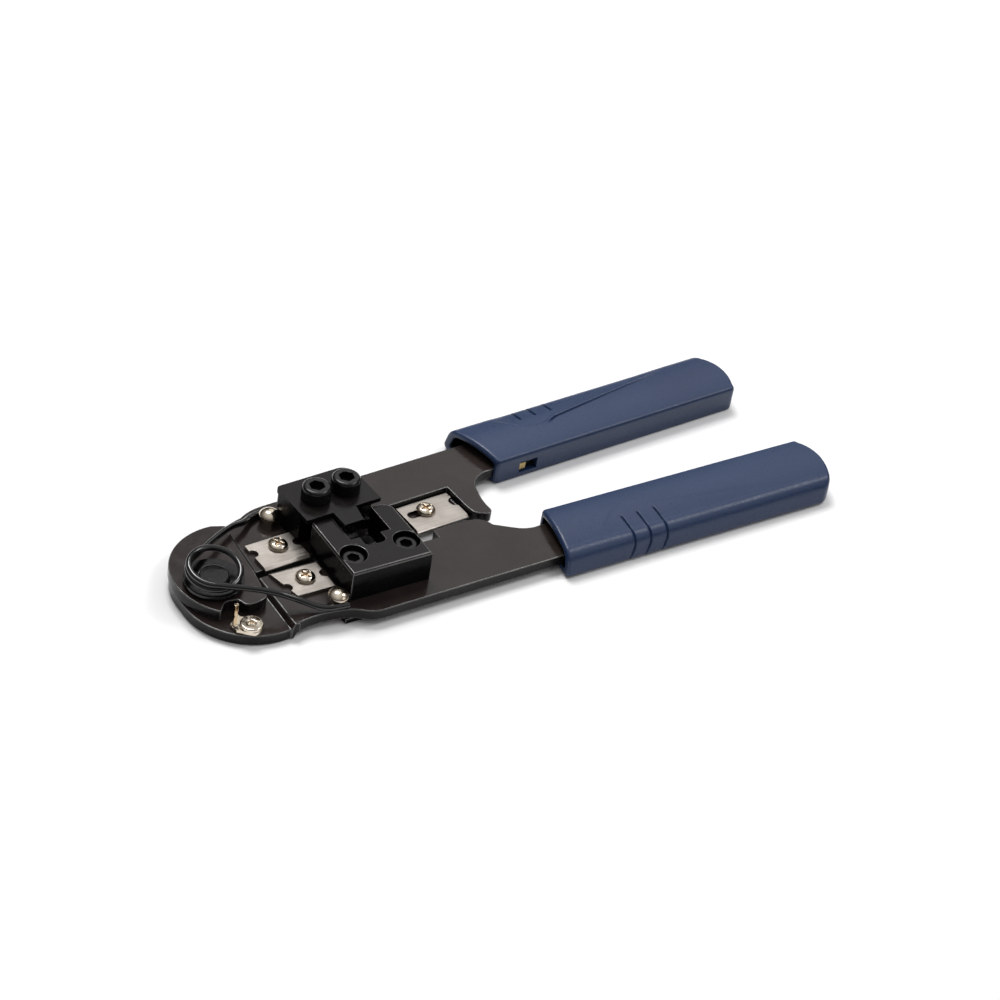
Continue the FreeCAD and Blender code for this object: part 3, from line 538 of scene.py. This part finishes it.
def spring_path():
    """The wire's centre line: near leg, coil and far leg, in arm coordinates."""
    radius, low, high, rest, tilt = 6.95, 7.1, 9.6, 2.75, math.radians(10.0)
    near_lean, far_lean = math.radians(23.1), math.radians(32.4)
    turns = math.tau + math.pi - near_lean - far_lean
    middle = Vector((0, 0, (low + high) / 2))
    lean = Matrix.Rotation(tilt, 3, "X")
    coil = []
    for k in range(121):
        angle = math.pi / 2 + far_lean + turns * k / 120
        point = Vector((radius * math.cos(angle), radius * math.sin(angle),
                        low + (high - low) * k / 120))
        coil.append(middle + lean @ (point - middle))
    goal = POST_Y + POST_RADIUS + WIRE + 0.15
    near = [Vector(p) for p in ((10.0, -12.2, 7.1), (17.3, -16.1, 4.4), (22.3, 0.7 - goal, rest),
                                (29.5, -goal, rest))]
    open_turn = Matrix.Rotation(math.radians(REST_ANGLE), 3, "Z")
    far = [open_turn @ Vector(p) for p in ((13.5, 15.9, 6.0), (19.6, 17.5, 4.1),
                                           (24.3, goal, rest), (29.5, goal, rest))]
    far_leg = soften([coil[0]] + far)
    near_leg = soften([coil[-1]] + near)
    return far_leg[::-1] + coil[1:-1] + near_leg


spring = rod("torsion_spring_piece", spring_path(), WIRE)
spring.data.transform(arm_matrix("lower"))
smooth(spring, 60)
spring.data.materials.append(WIRE_BLACK)
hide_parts("torsion_spring")
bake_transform(spring)


# ---------------------------------------------------------------- grips

GRIP_WIDTH, GRIP_EDGE, GRIP_CROWN, GRIP_LOW = 21.3, 4.7, 5.7, -3.4
FINGER_GROOVES = (117.5, 122.9, 128.6)


def grip_top(v):
    """Height of the grip's top surface and outer side, v millimetres from its inner wall."""
    w, corner = GRIP_WIDTH, 1.1
    if v < corner:
        rise = math.sqrt(max(corner ** 2 - (corner - v) ** 2, 0.0))
        return GRIP_EDGE - 0.93 + rise
    if v < w - 4.5:
        return arc_value(((0.3, GRIP_EDGE), (9.0, GRIP_CROWN), (w - 4.5, GRIP_CROWN - 0.9)), v)
    if v < w - 0.9:
        return arc_value(((w - 4.5, GRIP_CROWN - 0.9), (w - 2.1, 3.8), (w - 0.9, 1.9)), v)
    return 1.9 - 3.4 * (v - w + 0.9) / 0.9


def grip_bottom(v):
    """Height of the grip's underside, v millimetres from its inner wall."""
    w, corner = GRIP_WIDTH, 0.8
    if v < corner:
        return GRIP_LOW + corner - math.sqrt(max(corner ** 2 - (corner - v) ** 2, 0.0))
    if v < w - 1.9:
        return GRIP_LOW
    return arc_value(((w - 1.9, GRIP_LOW), (w - 0.5, GRIP_LOW + 0.6), (w, GRIP_LOW + 1.9)), v)


def grip_end(end, v):
    """Plan position of the grip's rounded end, v millimetres from its inner wall."""
    w = GRIP_WIDTH
    if v < 1.8:
        return end + arc_value(((-3.0, -1.0), (-1.9, 0.2), (-1.4, 1.8)), v, along=1)
    if v < w - 3.0:
        return end + arc_value(((-1.4, 1.8), (0.0, 11.0), (-2.2, w - 3.0)), v, along=1)
    return end + arc_value(((-2.2, w - 3.0), (-4.2, w - 0.7), (-7.6, w + 1.0)), v, along=1)


def grip_start(start, v):
    """Plan position of the slanted mouth."""
    return start + 3.9 * (1 - v / GRIP_WIDTH)


def ease(t):
    t = min(max(t, 0.0), 1.0)
    return t * t * (3 - 2 * t)


def groove(distance, half):
    """A round-bottomed groove's depth share at a distance from its centre line."""
    return max(0.0, 1 - (distance / half) ** 2)


def finger_grooves(x, v, z, start):
    """Depth share of three grooves that run over the outer side from `start` across the top."""
    depth = 0.0
    for at in FINGER_GROOVES:
        centre = at - 1.8 * ease((2.0 - z) / 5.0)
        fade = ease((v - start) / 1.2) * ease((z + 3.0) / 0.6)
        depth += fade * groove(x - centre, 0.42)
    return depth


def swoosh(x):
    """How far from the inner wall the swept step runs at x."""
    dip_x = 121.5
    dip = 8.9 + 0.055 * (x - dip_x) ** 2
    sweep = 11.9 + 0.14 * (x - 134.8)
    return dip if x < dip_x else dip + (sweep - dip) * ease((x - dip_x) / 8)


def swept_step(x, v, z, height, line):
    """Relief of the palm area: a step along the swoosh that becomes a fine line and runs out."""
    if not 104 < x < 178 or z < 0:
        return 0.0
    away = v - swoosh(x)
    fade = ease((x - 108) / 7) * ease((176 - x) / 16)
    rim = ease((GRIP_WIDTH - 0.4 - v) / 3.5)
    return fade * (height * ease((away + 0.2) / 1.4) * rim
                   + line * groove(away + 0.35, 0.45) * ease((x - 122) / 5))


def upper_relief(x, v, z):
    """Depth of the upper grip's relief: short grooves inside the swept step."""
    return 0.9 * finger_grooves(x, v, z, 14.2) + swept_step(x, v, z, 0.5, 0.85)


def lower_relief(x, v, z):
    """Depth of the lower grip's relief: long grooves, and the step barely sunk."""
    return 0.7 * finger_grooves(x, v, z, 11.2) + swept_step(x, v + 2.0, z, 0.1, 0.0)


def grip(node, side, start, end, inner, relief, window):
    """A moulded grip as one dense skin, with rounded ends, relief and a hollow mouth whose deep
    inside is painted near black as shadow.
    """
    flat_from, flat_to = 8.0, 17.0
    across = [flat_from * (1 - math.cos(math.pi / 2 * k / 20)) for k in range(20)]
    across += [flat_from + (flat_to - flat_from) * k / 44 for k in range(45)]
    across += [flat_to + (GRIP_WIDTH - flat_to) * math.sin(math.pi / 2 * k / 24)
               for k in range(1, 25)]
    walls = [0.25, 0.5, 0.75]
    loop = [(v, grip_bottom(v)) for v in across]
    loop += [(v, grip_top(v)) for v in reversed(across[:-1])]
    low, high = grip_bottom(0), grip_top(0)
    loop += [(0, high + (low - high) * share) for share in walls]
    centre = (GRIP_WIDTH / 2, (GRIP_LOW + GRIP_EDGE) / 2)
    half = (GRIP_WIDTH / 2, (GRIP_EDGE - GRIP_LOW) / 2)
    sign = 1 if side == "upper" else -1
    bm = bmesh.new()

    def skin(inset, position):
        """One ring of the skin, pulled in by inset; position gives x from the place across."""
        ring = []
        for v, z in loop:
            v2 = centre[0] + (v - centre[0]) * (1 - inset / half[0])
            z2 = centre[1] + (z - centre[1]) * (1 - inset / half[1])
            x = position(v2)
            sunk = relief(x, v2, z2) if inset == 0 else 0.0
            out = Vector((v2 - centre[0], (z2 - centre[1]) * 3)).normalized()
            ring.append(bm.verts.new((x, sign * (inner + v2 - sunk * out.x), z2 - sunk * out.y)))
        return ring

    def cavity(grow, deep):
        """One ring of the mouth's inside, `deep` behind the opening and grown a little."""
        near, far, floor, roof = 1.7 - grow, GRIP_WIDTH - 2.6 + grow, -1.75 - grow, 3.8 + grow
        ring = []
        for v, z in loop:
            v2 = near + (far - near) * v / GRIP_WIDTH
            z2 = floor + (roof - floor) * (z - GRIP_LOW) / (GRIP_CROWN - GRIP_LOW)
            ring.append(bm.verts.new((grip_start(start, v2) + deep, sign * (inner + v2), z2)))
        return ring

    # The first rings, deep in the mouth, take the near-black painted shadow.
    rim, nose, shadow_rings = 1.0, 1.1, 3
    rings = [cavity(0.0, 24.0), cavity(0.0, 8.0), cavity(0.0, 1.2), cavity(0.06, 0.35),
             cavity(0.3, 0.06), cavity(0.5, 0.0)]
    for k in range(6):
        t = math.pi / 2 * k / 5
        rings.append(skin(rim * (1 - math.sin(t)),
                          lambda v, t=t: grip_start(start, v) + rim * (1 - math.cos(t))))
    zones = ((0.0, 0.13, 40), (0.13, 0.40, 260), (0.40, 1.0, 220))     # from, to, rings
    shares = [begin + (stop - begin) * k / parts for begin, stop, parts in zones
              for k in range(parts)]
    for share in shares[1:]:
        rings.append(skin(0, lambda v, s=share: (grip_start(start, v) + rim) * (1 - s)
                          + (grip_end(end, v) - nose) * s))
    for k in range(7):
        t = math.pi / 2 * k / 6
        rings.append(skin(nose * (1 - math.cos(t)),
                          lambda v, t=t: grip_end(end, v) - nose * (1 - math.sin(t))))
    count = len(loop)
    for number, (below, above) in enumerate(zip(rings, rings[1:])):
        for k in range(count):
            n = (k + 1) % count
            face = bm.faces.new([below[k], below[n], above[n], above[k]])
            face.material_index = 1 if number < shadow_rings else 0
    last = len(across) - 1
    for ring in (rings[0], rings[-1]):
        top = ring[2 * last:last - 1:-1]
        bm.faces.new([ring[0], ring[1], top[1], top[0]] + ring[2 * last + 1:])
        for k in range(1, last - 1):
            bm.faces.new([ring[k], ring[k + 1], top[k + 1], top[k]])
        bm.faces.new([ring[last - 1], ring[last], top[last - 1]])
    obj = from_bmesh(node + "_piece", bm)
    obj.data.materials.append(NAVY)
    obj.data.materials.append(MOUTH_SHADOW)
    if window:
        cutter = bmesh.new()
        prism(cutter, [(start + 12.0, inner - 1), (start + 18.4, inner - 1),
                       (start + 18.4, inner + 2.4), (start + 12.0, inner + 2.4)], -1.6, 2.0)
        subtract(obj, from_bmesh(node + "_window", cutter))
    obj.data.transform(arm_matrix(side))
    smooth(obj, 50)
    return dress(obj, side, [node], "grip_plastic", NAVY, MOUTH_SHADOW)


grip("upper_grip", "upper", 95.4, 189.95, 9.5, upper_relief, True)
grip("lower_grip", "lower", 94.6, 190.25, 7.5, lower_relief, False)


# ---------------------------------------------------------------- floor, light and camera

def floor():
    """A plain pale floor."""
    bm = bmesh.new()
    bmesh.ops.create_grid(bm, x_segments=1, y_segments=1, size=6.0)
    obj = from_bmesh("floor", bm)
    material, principled = shader("floor_white", (0.9, 0.9, 0.9), 0.6)
    tint(material, principled, noise(material, 30, 2), (0.89, 0.89, 0.89), (0.91, 0.91, 0.91))
    obj.data.materials.append(material)


def softbox(name, power, size, azimuth, elevation, distance=1.3):
    """A square white area light that looks at the tool from a direction in degrees."""
    lamp = bpy.data.lights.new(name, "AREA")
    lamp.energy = power
    lamp.size = size
    obj = new_object(name, lamp)
    a, e = math.radians(azimuth), math.radians(elevation)
    out = Vector((math.sin(a) * math.cos(e), -math.cos(a) * math.cos(e), math.sin(e)))
    obj.location = out * distance
    obj.rotation_euler = out.to_track_quat("Z", "Y").to_euler()


def sky():
    """A soft white room: bright overhead, dark and slightly warm towards the walls."""
    world = bpy.data.worlds.new("studio")
    bpy.context.scene.world = world
    world.use_nodes = True
    tree = world.node_tree
    where = tree.nodes.new("ShaderNodeTexCoord")
    split = tree.nodes.new("ShaderNodeSeparateXYZ")
    ramp = tree.nodes.new("ShaderNodeValToRGB")
    stops = ((0.0, (0.05, 0.048, 0.045)), (0.40, (0.12, 0.115, 0.11)), (0.95, (0.8, 0.8, 0.8)))
    ramp.color_ramp.elements.new(0.5)
    for element, (position, colour) in zip(ramp.color_ramp.elements, stops):
        element.position = position
        element.color = (*colour, 1)
    tree.links.new(where.outputs["Generated"], split.inputs["Vector"])
    tree.links.new(split.outputs["Z"], ramp.inputs["Fac"])
    tree.links.new(ramp.outputs["Color"], tree.nodes["Background"].inputs["Color"])
    tree.nodes["Background"].inputs["Strength"].default_value = 0.9


def camera():
    """The camera, placed round a point between the grips and the head."""
    azimuth, elevation, roll = math.radians(-37.84), math.radians(37.11), math.radians(9.95)
    distance = 741.23 * MM
    target = PIVOT + Vector((93.52, 5.43, 0)) * MM
    back = Vector((math.sin(azimuth) * math.cos(elevation),
                   -math.cos(azimuth) * math.cos(elevation), math.sin(elevation)))
    right = Vector((0, 0, 1)).cross(back).normalized()
    up = back.cross(right)
    turned = right * math.cos(roll) + up * math.sin(roll)
    lens = bpy.data.cameras.new("camera")
    lens.sensor_width = 36.0
    lens.lens = 94.41
    lens.clip_start = 0.01
    obj = new_object("camera", lens)
    axes = Matrix((turned, back.cross(turned), back)).transposed()
    obj.matrix_world = Matrix.Translation(target + back * distance) @ axes.to_4x4()
    bpy.context.scene.camera = obj


floor()
sky()
softbox("overhead", 11.5, 0.5, 176, 62)
softbox("back", 1.35, 0.8, 131, 35)
softbox("side", 3.4, 0.35, 74, 54)
softbox("front", 1.0, 0.5, 30, 34)
camera()
bpy.context.scene.view_settings.view_transform = "Standard"
